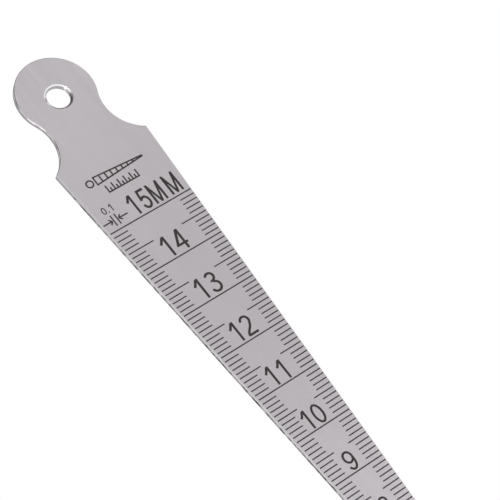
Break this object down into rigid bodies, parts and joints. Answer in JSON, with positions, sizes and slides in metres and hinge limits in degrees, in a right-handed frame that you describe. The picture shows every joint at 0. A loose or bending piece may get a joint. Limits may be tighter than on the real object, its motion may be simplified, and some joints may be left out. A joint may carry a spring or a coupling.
{
  "type": "taper gauge",
  "caption": "Flat stainless taper gauge for reading the width of a hole or slot, with a millimetre scale on one face, an inch scale on the other and a hang hole in its round head.",
  "frame": {"origin": "centre of the hang hole, half way through the blade", "axes": "+Z along the blade from the tip to the head, X across the blade, Y through it; the metric face looks along -Y and the inch face along +Y, as it hangs from a peg"},
  "size_m": [0.0164, 0.001, 0.1453],
  "materials": {
    "steel": "fine lengthwise brushed stainless steel, lightly deburred edges",
    "mark_fill": "matt dark fill in the engraved graduations"
  },
  "bodies": {
    "root": {"gauge_blade": "steel"}
  },
  "joints": []
}
